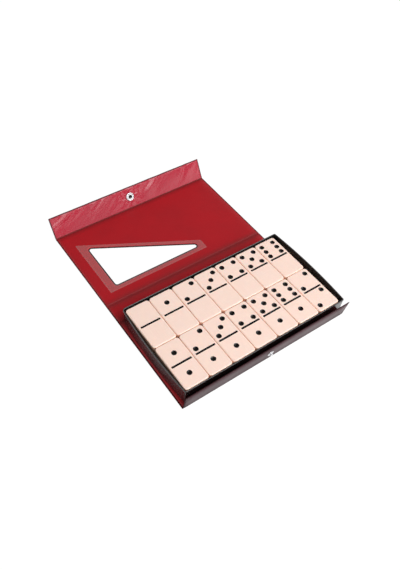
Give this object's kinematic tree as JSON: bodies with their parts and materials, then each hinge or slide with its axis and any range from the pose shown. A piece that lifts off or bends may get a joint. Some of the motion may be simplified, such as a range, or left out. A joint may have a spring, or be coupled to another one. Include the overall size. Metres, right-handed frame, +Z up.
{
  "type": "domino storage box",
  "caption": "Folding vinyl domino wallet with a windowed lid, a snap flap, a stand-up front panel and a rigid tray filled with a double-six domino set.",
  "frame": {"origin": "middle of the bottom panel's underside, on the surface the wallet lies on", "axes": "+X to the right along the wallet's long side, +Y from the front panel over the spine to the open lid and flap, +Z up"},
  "size_m": [0.1809, 0.2432, 0.0216],
  "materials": {
    "outer_vinyl": "black vinyl sheet with a soft sheen and a fine grain",
    "lining_vinyl": "red vinyl sheet, smooth, with a soft sheen",
    "greyboard": "plain grey stiffener board",
    "clear_film": "clear vinyl film",
    "tray_plastic": "thin black moulded plastic, glossy",
    "domino_resin": "cream-pink moulded resin with polished edges",
    "snap_metal": "bright nickel plate"
  },
  "bodies": {
    "bottom": {"bottom_outer_skin": "outer_vinyl", "bottom_board": "greyboard", "bottom_lining": "lining_vinyl", "tray": "tray_plastic"},
    "front_panel": {"front_outer_skin": "outer_vinyl", "front_board": "greyboard", "front_lining": "lining_vinyl", "snap_stud": "snap_metal", "snap_stud_back": "snap_metal"},
    "spine": {"spine_outer_skin": "outer_vinyl", "spine_board": "greyboard", "spine_lining": "lining_vinyl"},
    "lid": {"lid_outer_skin": "outer_vinyl", "lid_board": "greyboard", "lid_lining": "lining_vinyl", "window_film": "clear_film"},
    "flap": {"flap_outer_skin": "outer_vinyl", "flap_lining": "lining_vinyl", "snap_cap": "snap_metal", "snap_socket": "snap_metal"},
    "domino_0_0": {"tile_0_0": "domino_resin"},
    "domino_1_0": {"tile_1_0": "domino_resin"},
    "domino_2_0": {"tile_2_0": "domino_resin"},
    "domino_3_0": {"tile_3_0": "domino_resin"},
    "domino_4_0": {"tile_4_0": "domino_resin"},
    "domino_5_0": {"tile_5_0": "domino_resin"},
    "domino_6_0": {"tile_6_0": "domino_resin"},
    "domino_1_1": {"tile_1_1": "domino_resin"},
    "domino_2_1": {"tile_2_1": "domino_resin"},
    "domino_3_1": {"tile_3_1": "domino_resin"},
    "domino_4_1": {"tile_4_1": "domino_resin"},
    "domino_5_1": {"tile_5_1": "domino_resin"},
    "domino_6_1": {"tile_6_1": "domino_resin"},
    "domino_2_2": {"tile_2_2": "domino_resin"},
    "domino_3_2": {"tile_3_2": "domino_resin"},
    "domino_4_2": {"tile_4_2": "domino_resin"},
    "domino_5_2": {"tile_5_2": "domino_resin"},
    "domino_6_2": {"tile_6_2": "domino_resin"},
    "domino_3_3": {"tile_3_3": "domino_resin"},
    "domino_4_3": {"tile_4_3": "domino_resin"},
    "domino_5_3": {"tile_5_3": "domino_resin"},
    "domino_6_3": {"tile_6_3": "domino_resin"},
    "domino_4_4": {"tile_4_4": "domino_resin"},
    "domino_5_4": {"tile_5_4": "domino_resin"},
    "domino_6_4": {"tile_6_4": "domino_resin"},
    "domino_5_5": {"tile_5_5": "domino_resin"},
    "domino_6_5": {"tile_6_5": "domino_resin"},
    "domino_6_6": {"tile_6_6": "domino_resin"}
  },
  "joints": [
    {"name": "front_hinge", "type": "hinge", "parent": "bottom", "child": "front_panel", "pos_m": [0, -0.05122, 0.0007], "axis": [1, 0, 0], "range_deg": [-9.9, 70]},
    {"name": "spine_hinge", "type": "hinge", "parent": "bottom", "child": "spine", "pos_m": [0, 0.05122, 0.0007], "axis": [-1, 0, 0], "range_deg": [-90, 0]},
    {"name": "lid_hinge", "type": "hinge", "parent": "spine", "child": "lid", "pos_m": [0, 0.07342, 0.0007], "axis": [-1, 0, 0], "range_deg": [-90, 0]},
    {"name": "flap_hinge", "type": "hinge", "parent": "lid", "child": "flap", "pos_m": [0, 0.17626, 0.0007], "axis": [-1, 0, 0], "range_deg": [-17.5, 55]},
    {"name": "lift_3_2", "type": "slide", "parent": "bottom", "child": "domino_3_2", "axis": [0, 0, 1], "range_m": [0, 0.03]},
    {"name": "lift_4_2", "type": "slide", "parent": "bottom", "child": "domino_4_2", "axis": [0, 0, 1], "range_m": [0, 0.03]},
    {"name": "lift_5_2", "type": "slide", "parent": "bottom", "child": "domino_5_2", "axis": [0, 0, 1], "range_m": [0, 0.03]},
    {"name": "lift_6_2", "type": "slide", "parent": "bottom", "child": "domino_6_2", "axis": [0, 0, 1], "range_m": [0, 0.03]},
    {"name": "lift_3_3", "type": "slide", "parent": "bottom", "child": "domino_3_3", "axis": [0, 0, 1], "range_m": [0, 0.03]},
    {"name": "lift_4_3", "type": "slide", "parent": "bottom", "child": "domino_4_3", "axis": [0, 0, 1], "range_m": [0, 0.03]},
    {"name": "lift_5_3", "type": "slide", "parent": "bottom", "child": "domino_5_3", "axis": [0, 0, 1], "range_m": [0, 0.03]},
    {"name": "lift_6_3", "type": "slide", "parent": "bottom", "child": "domino_6_3", "axis": [0, 0, 1], "range_m": [0, 0.03]},
    {"name": "lift_4_4", "type": "slide", "parent": "bottom", "child": "domino_4_4", "axis": [0, 0, 1], "range_m": [0, 0.03]},
    {"name": "lift_5_4", "type": "slide", "parent": "bottom", "child": "domino_5_4", "axis": [0, 0, 1], "range_m": [0, 0.03]},
    {"name": "lift_6_4", "type": "slide", "parent": "bottom", "child": "domino_6_4", "axis": [0, 0, 1], "range_m": [0, 0.03]},
    {"name": "lift_5_5", "type": "slide", "parent": "bottom", "child": "domino_5_5", "axis": [0, 0, 1], "range_m": [0, 0.03]},
    {"name": "lift_6_5", "type": "slide", "parent": "bottom", "child": "domino_6_5", "axis": [0, 0, 1], "range_m": [0, 0.03]},
    {"name": "lift_6_6", "type": "slide", "parent": "bottom", "child": "domino_6_6", "axis": [0, 0, 1], "range_m": [0, 0.03]},
    {"name": "lift_0_0", "type": "slide", "parent": "domino_3_2", "child": "domino_0_0", "axis": [0, 0, 1], "range_m": [0, 0.03]},
    {"name": "lift_1_0", "type": "slide", "parent": "domino_4_2", "child": "domino_1_0", "axis": [0, 0, 1], "range_m": [0, 0.03]},
    {"name": "lift_2_0", "type": "slide", "parent": "domino_5_2", "child": "domino_2_0", "axis": [0, 0, 1], "range_m": [0, 0.03]},
    {"name": "lift_3_0", "type": "slide", "parent": "domino_6_2", "child": "domino_3_0", "axis": [0, 0, 1], "range_m": [0, 0.03]},
    {"name": "lift_4_0", "type": "slide", "parent": "domino_3_3", "child": "domino_4_0", "axis": [0, 0, 1], "range_m": [0, 0.03]},
    {"name": "lift_5_0", "type": "slide", "parent": "domino_4_3", "child": "domino_5_0", "axis": [0, 0, 1], "range_m": [0, 0.03]},
    {"name": "lift_6_0", "type": "slide", "parent": "domino_5_3", "child": "domino_6_0", "axis": [0, 0, 1], "range_m": [0, 0.03]},
    {"name": "lift_1_1", "type": "slide", "parent": "domino_6_3", "child": "domino_1_1", "axis": [0, 0, 1], "range_m": [0, 0.03]},
    {"name": "lift_2_1", "type": "slide", "parent": "domino_4_4", "child": "domino_2_1", "axis": [0, 0, 1], "range_m": [0, 0.03]},
    {"name": "lift_3_1", "type": "slide", "parent": "domino_5_4", "child": "domino_3_1", "axis": [0, 0, 1], "range_m": [0, 0.03]},
    {"name": "lift_4_1", "type": "slide", "parent": "domino_6_4", "child": "domino_4_1", "axis": [0, 0, 1], "range_m": [0, 0.03]},
    {"name": "lift_5_1", "type": "slide", "parent": "domino_5_5", "child": "domino_5_1", "axis": [0, 0, 1], "range_m": [0, 0.03]},
    {"name": "lift_6_1", "type": "slide", "parent": "domino_6_5", "child": "domino_6_1", "axis": [0, 0, 1], "range_m": [0, 0.03]},
    {"name": "lift_2_2", "type": "slide", "parent": "domino_6_6", "child": "domino_2_2", "axis": [0, 0, 1], "range_m": [0, 0.03]}
  ]
}
